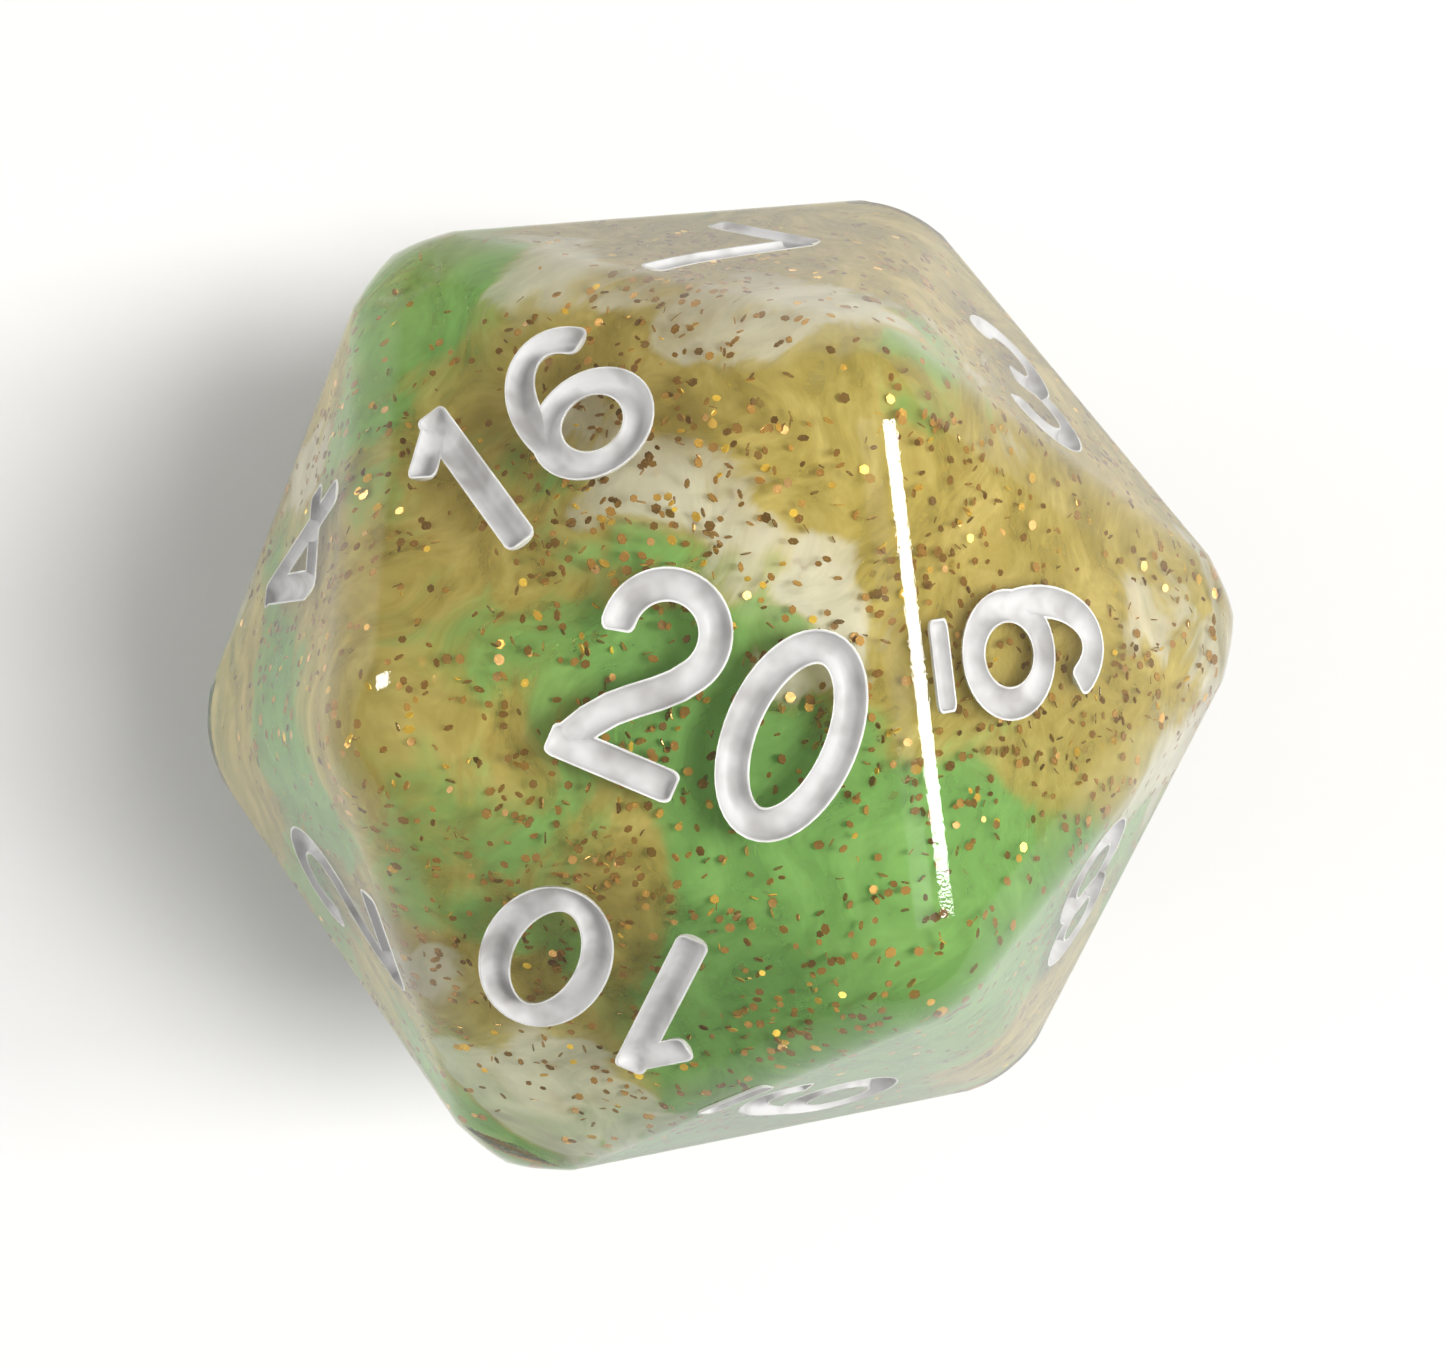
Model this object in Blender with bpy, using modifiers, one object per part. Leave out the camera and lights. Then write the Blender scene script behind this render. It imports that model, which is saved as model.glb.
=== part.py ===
# Twenty-sided die cast in three swirled resins, with engraved numerals filled with paint.
#
# Frame: metres, +Z up. The die lies on face 1, so face 20 is on top. The origin is the middle of the
# underside, and the 20 reads upright for someone who looks down with +Y away from them.

import bmesh
import bpy
from math import asin, cos, pi, radians, sin, sqrt, tan
from mathutils import Euler, Matrix, Vector

# Driving dimensions
FACE_TO_FACE = 0.0200
EDGE_RADIUS = 0.0025
EDGE_SEGMENTS = 4
CAP_HEIGHT = 0.0044
DIGIT_WIDTH = 0.00266
STROKE_WIDTH = 0.00066
DIGIT_PITCH = 0.00305
NARROW_PITCH = 0.0023
NUMERAL_DROP = 0.00025
BAR_LENGTH = 0.00185
BAR_WIDTH = 0.00050
BAR_DROP = 0.00305
PAINT_RECESS = 0.00008
FIT_GAP = 0.00003
STROKE_LIFT = 0.00001

# The two wavy sheets where one colour of resin meets the next
SHEET_WAVELENGTH = 0.0170
SHEET_STEPS = 22
GREEN_SHEET = {"middle": -0.0016, "swing": 0.0016, "phase": 0.6}
AMBER_SHEET = {"middle": 0.0028, "swing": 0.0013, "phase": 2.1}
POUR_TILT = Euler((radians(16), radians(-10), 0))

# Geometry of a regular icosahedron with that distance between opposite faces
GOLDEN = (1 + sqrt(5)) / 2
INRADIUS = FACE_TO_FACE / 2
EDGE = INRADIUS * 2 * sqrt(3) / GOLDEN**2
CIRCUMRADIUS = EDGE * sqrt(GOLDEN * sqrt(5)) / 2
FOLD_ANGLE = pi - 2 * asin(GOLDEN / sqrt(3))
TOP_RING = EDGE / sqrt(3)
WAIST_RING = GOLDEN * TOP_RING
WAIST_HEIGHT = sqrt(CIRCUMRADIUS**2 - WAIST_RING**2)

# Numbers on ten faces, each with its three corners. The top of the numeral points to the first corner.
# The face opposite holds 21 minus the number, so these ten give the other ten.
FACE_CORNERS = {
    20: "ABC",
    16: "DAB",
    6: "FAC",
    10: "HBC",
    7: "EAD",
    3: "EAF",
    8: "GCF",
    9: "GCH",
    2: "IBH",
    4: "IBD",
}
OPPOSITE_CORNER = dict(zip("ABCDEFGHIJKL", "JKLGHIDEFABC"))
OPPOSITE_SUM = 21
UNDERLINED = (6, 9)

RESINS = {
    "resin_clear_pour": {"colour": (0.62, 0.60, 0.47, 1.0), "roughness": 0.08, "metallic": 0.0},
    "resin_green_pour": {"colour": (0.15, 0.45, 0.14, 1.0), "roughness": 0.08, "metallic": 0.0},
    "resin_amber_pour": {"colour": (0.42, 0.33, 0.06, 1.0), "roughness": 0.08, "metallic": 0.0},
}
WHITE_PAINT = {"colour": (0.86, 0.85, 0.83, 1.0), "roughness": 0.55, "metallic": 0.0}


def clear_scene():
    for old in list(bpy.data.objects):
        bpy.data.objects.remove(old, do_unlink=True)


def new_collection(name):
    collection = bpy.data.collections.new(name)
    bpy.context.scene.collection.children.link(collection)
    return collection


def new_material(name, look):
    material = bpy.data.materials.new(name)
    material.use_nodes = True
    shader = material.node_tree.nodes["Principled BSDF"]
    shader.inputs["Base Color"].default_value = look["colour"]
    shader.inputs["Roughness"].default_value = look["roughness"]
    shader.inputs["Metallic"].default_value = look["metallic"]
    material.diffuse_color = look["colour"]
    return material


def new_object(name, data, collection):
    obj = bpy.data.objects.new(name, data)
    collection.objects.link(obj)
    return obj


def mark_as_cutter(obj):
    obj.hide_render = True
    obj.display_type = "WIRE"
    return obj


def baked_mesh(obj, name):
    # The object's mesh with its modifiers in it, and with any loose caps welded on
    depsgraph = bpy.context.evaluated_depsgraph_get()
    mesh = bpy.data.meshes.new_from_object(obj.evaluated_get(depsgraph), depsgraph=depsgraph)
    mesh.name = name
    work = bmesh.new()
    work.from_mesh(mesh)
    bmesh.ops.remove_doubles(work, verts=work.verts, dist=1e-7)
    work.to_mesh(mesh)
    work.free()
    return mesh


def add_boolean(obj, name, operation, cutter=None, collection=None):
    # Dozens of round strokes meet the rounded edges here, and the Manifold solver keeps the result closed
    boolean = obj.modifiers.new(name, "BOOLEAN")
    boolean.operation = operation
    boolean.solver = "MANIFOLD"
    if collection:
        boolean.operand_type = "COLLECTION"
        boolean.collection = collection
    else:
        boolean.object = cutter
    return boolean


def ring_corner(radius, azimuth, height):
    return Vector((radius * cos(radians(azimuth)), radius * sin(radians(azimuth)), height))


def die_corners():
    # The twelve corners about the middle of the die, face 20 on top
    corners = {
        "A": ring_corner(TOP_RING, 90, INRADIUS),
        "B": ring_corner(TOP_RING, 210, INRADIUS),
        "C": ring_corner(TOP_RING, 330, INRADIUS),
        "D": ring_corner(WAIST_RING, 150, WAIST_HEIGHT),
        "F": ring_corner(WAIST_RING, 30, WAIST_HEIGHT),
        "H": ring_corner(WAIST_RING, 270, WAIST_HEIGHT),
    }
    for name in list(corners):
        corners[OPPOSITE_CORNER[name]] = -corners[name]
    return corners


def face_layout():
    # Each number with the matrix that puts a numeral on its face: Z outwards, Y to the first corner
    corners = die_corners()
    names = dict(FACE_CORNERS)
    for number, letters in FACE_CORNERS.items():
        names[OPPOSITE_SUM - number] = "".join(OPPOSITE_CORNER[letter] for letter in letters)
    layout = {}
    for number, letters in names.items():
        middle = sum((corners[letter] for letter in letters), Vector()) / 3
        outward = middle.normalized()
        upward = (corners[letters[0]] - middle).normalized()
        across = upward.cross(outward)
        turn = Matrix((across, upward, outward)).transposed().to_4x4()
        layout[number] = Matrix.Translation(middle + Vector((0, 0, INRADIUS))) @ turn
    return layout


def die_blank(name):
    # An icosahedron turned so that one face is on top with a corner towards +Y
    mesh = bpy.data.meshes.new(name)
    work = bmesh.new()
    bmesh.ops.create_icosphere(work, subdivisions=1, radius=CIRCUMRADIUS)
    work.faces.ensure_lookup_table()
    top = work.faces[0]
    tip = top.normal.rotation_difference(Vector((0, 0, 1))).to_matrix()
    corner = tip @ top.verts[0].co
    spin = Matrix.Rotation(Vector((corner.x, corner.y)).angle_signed(Vector((0, 1))), 3, "Z")
    if (spin @ corner).y < 0.99 * TOP_RING:
        spin.invert()
    bmesh.ops.transform(work, matrix=(spin @ tip).to_4x4(), verts=work.verts)
    bmesh.ops.translate(work, vec=(0, 0, INRADIUS), verts=work.verts)
    work.to_mesh(mesh)
    work.free()
    return mesh


def round_edges(obj):
    bevel = obj.modifiers.new("tumbled edges", "BEVEL")
    bevel.limit_method = "NONE"
    bevel.width = EDGE_RADIUS * tan(FOLD_ANGLE / 2)
    bevel.segments = EDGE_SEGMENTS
    return bevel


# Digits are drawn with the middle line of a single stroke. Across and up both run from -1 to 1, from one
# extreme of the stroke's middle line to the other. A flat end that reaches the cap line runs on to 1.2.
RUN_OUT = 1.2


def arc(x, y, across, up, start, end, steps):
    return [
        (x + across * cos(radians(angle)), y + up * sin(radians(angle)))
        for angle in (start + (end - start) * step / steps for step in range(steps + 1))
    ]


def loop(x, y, across, up, steps):
    return arc(x, y, across, up, 0, 360 - 360 / steps, steps - 1)


def half_turn(strokes):
    return [([(-x, -y) for x, y in points], closed) for points, closed in strokes]


def digit_strokes():
    # For each digit, its strokes as (points, closed)
    six = [
        (loop(0, -0.42, 1.0, 0.58, 14), True),
        (arc(0.05, 0, 1.05, 1.0, 42, 195, 9), False),
    ]
    return {
        0: [(loop(0, 0, 1.0, 1.0, 18), True)],
        1: [
            ([(0.12, RUN_OUT), (0.12, -RUN_OUT)], False),
            ([(-0.78, 0.48), (0.12, 1.0)], False),
        ],
        2: [
            (arc(0, 0.47, 0.97, 0.53, 198, -32, 9) + [(0.30, -0.14), (-0.42, -0.48), (-0.98, -0.95)], False),
            ([(-1.34, -1.0), (1.34, -1.0)], False),
        ],
        3: [
            (arc(-0.05, 0.51, 0.88, 0.50, 158, -90, 9) + [(-0.42, 0.01)], False),
            ([(-0.34, 0.04)] + arc(-0.05, -0.48, 1.0, 0.52, 90, -160, 9), False),
        ],
        4: [
            ([(0.42, RUN_OUT), (0.42, -RUN_OUT)], False),
            ([(0.42, 1.02), (-1.12, -0.42)], False),
            ([(-1.38, -0.48), (1.30, -0.48)], False),
        ],
        5: [
            (arc(-0.05, -0.38, 1.02, 0.62, 140, -155, 10), False),
            ([(-0.70, 0.97), (-0.86, -0.18)], False),
            ([(-0.95, 1.0), (1.10, 1.0)], False),
        ],
        6: six,
        7: [
            ([(-1.34, 1.0), (1.34, 1.0)], False),
            ([(1.12, 1.0), (0.52, 0.1), (0.14, -0.6), (0.0, -RUN_OUT)], False),
        ],
        8: [
            (loop(0, 0.50, 0.84, 0.50, 12), True),
            (loop(0, -0.46, 1.0, 0.54, 12), True),
        ],
        9: half_turn(six),
    }


def pulled_back(points, amount):
    # The same open stroke with both of its ends drawn in
    ends = list(points)
    for end, inner in ((0, 1), (-1, -2)):
        ends[end] = ends[end] + (ends[inner] - ends[end]).normalized() * amount
    return ends


def stroke_object(points, closed, radius, helpers):
    # One round stroke: a tube with flat ends, half of it in the face and half above
    data = bpy.data.curves.new("stroke", "CURVE")
    data.dimensions = "3D"
    data.twist_mode = "Z_UP"
    data.bevel_depth = radius
    data.bevel_resolution = 2
    data.use_fill_caps = True
    data.render_resolution_u = 0
    spline = data.splines.new("POLY")
    spline.points.add(len(points) - 1)
    for target, point in zip(spline.points, points):
        target.co = (point.x, point.y, STROKE_LIFT, 1.0)
    spline.use_cyclic_u = closed
    tube = new_object("stroke", data, helpers)
    solid = new_object("stroke_solid", baked_mesh(tube, "stroke_solid"), helpers)
    bpy.data.objects.remove(tube, do_unlink=True)
    return solid


def glyph_mesh(name, strokes, radius, clearance, helpers):
    # A digit's strokes joined into one closed solid
    half_width = (DIGIT_WIDTH - STROKE_WIDTH) / 2
    half_height = (CAP_HEIGHT - STROKE_WIDTH) / 2
    solids = []
    for points, closed in strokes:
        placed = [Vector((x * half_width, y * half_height)) for x, y in points]
        if not closed:
            placed = pulled_back(placed, clearance)
        solids.append(stroke_object(placed, closed, radius - clearance, helpers))
    for other in solids[1:]:
        add_boolean(solids[0], "join " + other.name, "UNION", cutter=other)
    mesh = baked_mesh(solids[0], name)
    for solid in solids:
        bpy.data.objects.remove(solid, do_unlink=True)
    mesh.shade_smooth()
    mesh.set_sharp_from_angle(angle=radians(50))
    return mesh


def bar_strokes():
    half_bar = BAR_LENGTH / (DIGIT_WIDTH - STROKE_WIDTH)
    return [([(-half_bar, 0), (half_bar, 0)], False)]


def glyph_places():
    # Every digit and bar on the die as (piece name, glyph, matrix)
    places = []
    for number, face in sorted(face_layout().items()):
        digits = [int(character) for character in str(number)]
        pitches = [NARROW_PITCH if digit == 1 else DIGIT_PITCH for digit in digits]
        left = -sum(pitches) / 2
        labels = ("_tens", "_units") if len(digits) == 2 else ("",)
        for digit, pitch, label in zip(digits, pitches, labels):
            shift = Matrix.Translation((left + pitch / 2, -NUMERAL_DROP, 0))
            places.append((f"paint_{number}{label}", digit, face @ shift))
            left += pitch
        if number in UNDERLINED:
            places.append((f"paint_{number}_bar", "bar", face @ Matrix.Translation((0, -BAR_DROP, 0))))
    return places


def sheet_line(sheet, offset):
    # Points along a wavy sheet, from -X to +X, moved across it by offset
    reach = FACE_TO_FACE * 0.7
    line = []
    for step in range(SHEET_STEPS + 1):
        x = -reach + 2 * reach * step / SHEET_STEPS
        wave = sheet["swing"] * sin(2 * pi * x / SHEET_WAVELENGTH + sheet["phase"])
        line.append((x, sheet["middle"] + wave + offset))
    return line


def pour_region(name, outline, cutters):
    # A tall prism over an outline, tilted as the cup was when that colour went in
    data = bpy.data.curves.new(name, "CURVE")
    data.dimensions = "2D"
    data.fill_mode = "BOTH"
    data.extrude = FACE_TO_FACE * 0.8
    data.render_resolution_u = 0
    spline = data.splines.new("POLY")
    spline.points.add(len(outline) - 1)
    for target, (x, y) in zip(spline.points, outline):
        target.co = (x, y, 0, 1.0)
    spline.use_cyclic_u = True
    flat = new_object(name, data, cutters)
    region = new_object(name + "_region", baked_mesh(flat, name), cutters)
    bpy.data.objects.remove(flat, do_unlink=True)
    region.matrix_world = Matrix.Translation((0, 0, INRADIUS)) @ POUR_TILT.to_matrix().to_4x4()
    return mark_as_cutter(region)


def pour_outlines():
    far = FACE_TO_FACE * 0.8
    corner_right = (FACE_TO_FACE * 0.7, far)
    corner_left = (-FACE_TO_FACE * 0.7, far)
    green_edge = sheet_line(GREEN_SHEET, -FIT_GAP / 2)
    clear_low = sheet_line(GREEN_SHEET, FIT_GAP / 2)
    clear_high = sheet_line(AMBER_SHEET, -FIT_GAP / 2)
    amber_edge = sheet_line(AMBER_SHEET, FIT_GAP / 2)
    return {
        "resin_green_pour": green_edge + [(corner_right[0], -far), (corner_left[0], -far)],
        "resin_clear_pour": clear_low + clear_high[::-1],
        "resin_amber_pour": amber_edge + [corner_right, corner_left],
    }


def build_numerals(parts, cutters, engraving):
    # The engraving cutters, and the paint that fills each groove almost to the face
    paint = new_material("white_paint", WHITE_PAINT)
    level = new_object("paint_level", die_blank("paint_level"), cutters)
    round_edges(level)
    shrink = (INRADIUS - PAINT_RECESS) / INRADIUS
    middle = Matrix.Translation((0, 0, INRADIUS))
    level.matrix_world = middle @ Matrix.Scale(shrink, 4) @ middle.inverted()
    mark_as_cutter(level)
    grooves = {}
    fills = {}
    for glyph, strokes in digit_strokes().items():
        grooves[glyph] = glyph_mesh(f"groove_{glyph}", strokes, STROKE_WIDTH / 2, 0, cutters)
        fills[glyph] = glyph_mesh(f"fill_{glyph}", strokes, STROKE_WIDTH / 2, FIT_GAP, cutters)
    grooves["bar"] = glyph_mesh("groove_bar", bar_strokes(), BAR_WIDTH / 2, 0, cutters)
    fills["bar"] = glyph_mesh("fill_bar", bar_strokes(), BAR_WIDTH / 2, FIT_GAP, cutters)
    for mesh in fills.values():
        mesh.materials.append(paint)
    for name, glyph, place in glyph_places():
        groove = new_object("cut_" + name, grooves[glyph], engraving)
        groove.matrix_world = place
        mark_as_cutter(groove)
        fill = new_object(name, fills[glyph], parts)
        fill.matrix_world = place
        add_boolean(fill, "wiped level", "INTERSECT", cutter=level)


def build_pours(parts, cutters, engraving):
    # One engraved casting, divided into its three colours of resin
    casting = new_object("casting", die_blank("casting"), cutters)
    round_edges(casting)
    add_boolean(casting, "engraved numerals", "DIFFERENCE", collection=engraving)
    engraved = baked_mesh(casting, "engraved_casting")
    engraved.shade_smooth()
    engraved.set_sharp_from_angle(angle=radians(30))
    bpy.data.objects.remove(casting, do_unlink=True)
    for name, outline in pour_outlines().items():
        pour = new_object(name, engraved.copy(), parts)
        pour.data.name = name
        pour.data.materials.clear()
        pour.data.materials.append(new_material(name, RESINS[name]))
        add_boolean(pour, "its share of the casting", "INTERSECT", cutter=pour_region(name, outline, cutters))
    bpy.data.meshes.remove(engraved)


def main():
    clear_scene()
    parts = new_collection("twenty_sided_die")
    cutters = new_collection("cutters")
    engraving = bpy.data.collections.new("engraving_cutters")
    cutters.children.link(engraving)
    build_numerals(parts, cutters, engraving)
    build_pours(parts, cutters, engraving)


main()
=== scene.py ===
from math import asin, cos, pi, radians, sin, sqrt, tan

import bmesh
import bpy
import numpy as np
from mathutils import Matrix, Vector
from mathutils.bvhtree import BVHTree


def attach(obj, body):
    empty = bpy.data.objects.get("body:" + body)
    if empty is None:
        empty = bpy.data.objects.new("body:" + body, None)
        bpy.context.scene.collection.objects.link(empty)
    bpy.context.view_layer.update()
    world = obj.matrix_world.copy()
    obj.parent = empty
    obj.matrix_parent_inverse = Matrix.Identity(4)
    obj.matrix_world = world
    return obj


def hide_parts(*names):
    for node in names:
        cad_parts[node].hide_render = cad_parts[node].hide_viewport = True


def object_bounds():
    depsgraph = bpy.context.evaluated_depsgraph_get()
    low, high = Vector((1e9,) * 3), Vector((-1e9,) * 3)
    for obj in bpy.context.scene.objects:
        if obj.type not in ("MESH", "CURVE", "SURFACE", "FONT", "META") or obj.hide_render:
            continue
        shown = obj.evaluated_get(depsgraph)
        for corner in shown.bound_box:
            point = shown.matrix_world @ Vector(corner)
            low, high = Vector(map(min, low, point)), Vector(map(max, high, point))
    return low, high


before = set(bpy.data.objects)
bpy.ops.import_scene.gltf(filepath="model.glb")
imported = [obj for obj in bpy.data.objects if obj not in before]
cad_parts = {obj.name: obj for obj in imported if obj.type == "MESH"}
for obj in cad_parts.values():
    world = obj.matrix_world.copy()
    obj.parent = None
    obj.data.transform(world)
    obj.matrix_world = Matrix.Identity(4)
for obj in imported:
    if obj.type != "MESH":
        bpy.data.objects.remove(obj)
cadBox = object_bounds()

mm = 0.001
scene = bpy.context.scene
lowCorner, highCorner = cadBox
middle = (lowCorner + highCorner) / 2
inradius = (highCorner.z - lowCorner.z) / 2
print("frame loaded: die", [round(side / mm, 2) for side in highCorner - lowCorner], "mm")


def linear(hexColour):
    # sRGB hex to the linear colour that the shaders work in
    channels = [int(hexColour[place:place + 2], 16) / 255 for place in (1, 3, 5)]
    return tuple(c / 12.92 if c <= 0.04045 else ((c + 0.055) / 1.055) ** 2.4 for c in channels) + (1.0,)


def addNode(tree, kind, inputs=None, **settings):
    # inputs maps a socket's name or number to a value, or to another node's output to link from
    node = tree.nodes.new(kind)
    for name, value in settings.items():
        setattr(node, name, value)
    for socket, value in (inputs or {}).items():
        if isinstance(value, bpy.types.NodeSocket):
            tree.links.new(value, node.inputs[socket])
        else:
            node.inputs[socket].default_value = value
    return node


def emptyMaterial(name):
    material = bpy.data.materials.new(name)
    material.use_nodes = True
    material.node_tree.nodes.clear()
    return material, material.node_tree


def addPiece(name, mesh, material, replaced=()):
    piece = bpy.data.objects.new(name, mesh)
    scene.collection.objects.link(piece)
    mesh.materials.clear()
    mesh.materials.append(material)
    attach(piece, "root")
    if replaced:
        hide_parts(*replaced)
    return piece


def bakedMesh(obj, name):
    depsgraph = bpy.context.evaluated_depsgraph_get()
    mesh = bpy.data.meshes.new_from_object(obj.evaluated_get(depsgraph), depsgraph=depsgraph)
    mesh.name = name
    work = bmesh.new()
    work.from_mesh(mesh)
    bmesh.ops.remove_doubles(work, verts=work.verts, dist=1e-7)
    work.to_mesh(mesh)
    work.free()
    return mesh


def helperObject(name, data):
    obj = bpy.data.objects.new(name, data)
    scene.collection.objects.link(obj)
    return obj


def cut(obj, other, operation):
    boolean = obj.modifiers.new(operation.lower(), "BOOLEAN")
    boolean.operation = operation
    boolean.solver = "MANIFOLD"
    if isinstance(other, bpy.types.Collection):
        boolean.operand_type = "COLLECTION"
        boolean.collection = other
    else:
        boolean.object = other


# the shape of the die follows from the frame's height between face 20 and face 1

die = {
    "edgeRadius": 2.5 * mm,  # tumbling rounds the edges this much
    "roundingSteps": 10,
}
golden = (1 + sqrt(5)) / 2
edge = inradius * 2 * sqrt(3) / golden**2
circumradius = edge * sqrt(golden * sqrt(5)) / 2
foldAngle = pi - 2 * asin(golden / sqrt(3))
topRing = edge / sqrt(3)
waistRing = golden * topRing
waistHeight = sqrt(circumradius**2 - waistRing**2)

# each numeral's top points to the first corner; the face opposite holds 21 minus the number
faceCorners = {
    20: "ABC", 16: "DAB", 6: "FAC", 10: "HBC", 7: "EAD",
    3: "EAF", 8: "GCF", 9: "GCH", 2: "IBH", 4: "IBD",
}
oppositeCorner = dict(zip("ABCDEFGHIJKL", "JKLGHIDEFABC"))


def ringCorner(radius, azimuth, height):
    return Vector((radius * cos(radians(azimuth)), radius * sin(radians(azimuth)), height))


def dieCorners():
    corners = {
        "A": ringCorner(topRing, 90, inradius),
        "B": ringCorner(topRing, 210, inradius),
        "C": ringCorner(topRing, 330, inradius),
        "D": ringCorner(waistRing, 150, waistHeight),
        "F": ringCorner(waistRing, 30, waistHeight),
        "H": ringCorner(waistRing, 270, waistHeight),
    }
    for name in list(corners):
        corners[oppositeCorner[name]] = -corners[name]
    return corners


def faceFrames():
    # number -> matrix about the frame's origin: Z outwards, Y to the first corner, X across
    corners = dieCorners()
    letters = dict(faceCorners)
    for number, three in faceCorners.items():
        letters[21 - number] = "".join(oppositeCorner[letter] for letter in three)
    frames = {}
    for number, three in letters.items():
        centre = sum((corners[letter] for letter in three), Vector()) / 3
        outward = centre.normalized()
        upward = (corners[three[0]] - centre).normalized()
        turn = Matrix((upward.cross(outward), upward, outward)).transposed().to_4x4()
        frames[number] = Matrix.Translation(centre + middle) @ turn
    return frames


def icosahedron(scale):
    work = bmesh.new()
    for corner in dieCorners().values():
        work.verts.new(corner * scale + middle)
    bmesh.ops.convex_hull(work, input=work.verts)
    bmesh.ops.recalc_face_normals(work, faces=work.faces)
    return work


def dieBlank(name):
    # the tumbled shape before engraving
    work = icosahedron(1)
    offset = die["edgeRadius"] * tan(foldAngle / 2)
    bmesh.ops.bevel(work, geom=list(work.edges), offset=offset, offset_type="OFFSET", profile=0.5,
                    segments=die["roundingSteps"], affect="EDGES")
    mesh = bpy.data.meshes.new(name)
    work.to_mesh(mesh)
    work.free()
    return mesh


def innerCore():
    # the small sharp die that the rounding is a constant distance from
    work = icosahedron((inradius - die["edgeRadius"]) / inradius)
    tree = BVHTree.FromBMesh(work)
    work.free()
    return tree


faces = faceFrames()
core = innerCore()

numerals = {
    "capHeight": 4.4 * mm,
    "digitWidth": 2.66 * mm,
    "stroke": 0.66 * mm,
    "pitch": 3.05 * mm,
    "narrowPitch": 2.3 * mm,   # the digit 1
    "drop": 0.25 * mm,         # numerals sit a little below the middle of the face
    "barLength": 1.85 * mm,
    "barWidth": 0.50 * mm,
    "barDrop": 3.05 * mm,
    "strokeSides": 5,          # bevel resolution of the round engraving cutter
    # the cutter leaves the corners of a flat end round: (distance from the end, share of the radius)
    "endTaper": ((0, 0.66), (0.03 * mm, 0.82), (0.09 * mm, 0.94), (0.18 * mm, 1.0)),
}
runOut = 1.2  # a flat stroke end that reaches the cap line runs on this far


def arc(x, y, across, up, start, end, steps):
    return [
        (x + across * cos(radians(angle)), y + up * sin(radians(angle)))
        for angle in (start + (end - start) * step / steps for step in range(steps + 1))
    ]


def loop(x, y, across, up, steps):
    return arc(x, y, across, up, 0, 360 - 360 / steps, steps - 1)


def halfTurn(strokes):
    return [([(-x, -y) for x, y in points], ends) for points, ends in strokes]


def digitStrokes():
    # middle lines, from -1 to 1 across and up, as (points, ends): a ring has no end, and an end that runs into
    # another stroke isn't a free one
    six = [
        (loop(0, -0.42, 1.0, 0.58, 40), "ring"),
        (arc(0.05, 0, 1.05, 1.0, 42, 195, 26), "first"),
    ]
    return {
        0: [(loop(0, 0, 1.0, 1.0, 48), "ring")],
        1: [
            ([(0.12, runOut), (0.12, -runOut)], "both"),
            ([(-0.78, 0.48), (0.12, 1.0)], "first"),
        ],
        2: [
            (arc(0, 0.47, 0.97, 0.53, 198, -32, 28) + [
                (0.60, 0.02), (0.30, -0.14), (-0.08, -0.31), (-0.42, -0.48), (-0.72, -0.69), (-0.98, -0.95),
            ], "first"),
            ([(-1.34, -1.0), (1.34, -1.0)], "both"),
        ],
        3: [
            (arc(-0.05, 0.51, 0.88, 0.50, 158, -90, 28) + [(-0.42, 0.01)], "both"),
            ([(-0.34, 0.04)] + arc(-0.05, -0.48, 1.0, 0.52, 90, -160, 28), "last"),
        ],
        4: [
            ([(0.42, runOut), (0.42, -runOut)], "both"),
            ([(0.42, 1.02), (-1.12, -0.42)], "none"),
            ([(-1.38, -0.48), (1.30, -0.48)], "both"),
        ],
        5: [
            (arc(-0.05, -0.38, 1.02, 0.62, 140, -155, 30), "last"),
            ([(-0.70, 0.97), (-0.86, -0.18)], "last"),
            ([(-0.95, 1.0), (1.10, 1.0)], "both"),
        ],
        6: six,
        7: [
            ([(-1.34, 1.0), (1.34, 1.0)], "both"),
            ([
                (1.12, 1.0), (0.80, 0.52), (0.52, 0.1), (0.30, -0.27), (0.14, -0.6), (0.04, -0.92),
                (0.0, -runOut),
            ], "last"),
        ],
        8: [
            (loop(0, 0.50, 0.84, 0.50, 36), "ring"),
            (loop(0, -0.46, 1.0, 0.54, 36), "ring"),
        ],
        9: halfTurn(six),
    }


def glyphLines(glyph):
    # the strokes of a digit or bar in metres on the face, with the engraving radius
    if glyph == "bar":
        half = numerals["barLength"] / 2
        return [([Vector((-half, 0)), Vector((half, 0))], "both")], numerals["barWidth"] / 2
    halfWidth = (numerals["digitWidth"] - numerals["stroke"]) / 2
    halfHeight = (numerals["capHeight"] - numerals["stroke"]) / 2
    lines = [
        ([Vector((x * halfWidth, y * halfHeight)) for x, y in points], ends)
        for points, ends in digitStrokes()[glyph]
    ]
    return lines, numerals["stroke"] / 2


def finer(points, ends, spacing):
    # the same line with a point at least every spacing
    result = []
    pairs = list(zip(points, points[1:] + points[:1])) if ends == "ring" else list(zip(points, points[1:]))
    for start, end in pairs:
        count = max(1, round((end - start).length / spacing))
        result += [start.lerp(end, step / count) for step in range(count)]
    return result if ends == "ring" else result + [points[-1]]


def endTapered(line, radii, endShift):
    # the first end drawn in by endShift, with the round corners that the cutter leaves there
    inward = (line[1] - line[0]).normalized()
    tip = line[0] + inward * endShift
    taper = numerals["endTaper"]
    keep = [place for place in range(1, len(line)) if (line[place] - tip).length > taper[-1][0] * 1.2]
    points = [tip + inward * far for far, _ in taper] + [line[place] for place in keep]
    return points, [radii[0] * share for _, share in taper] + [radii[place] for place in keep]


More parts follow.
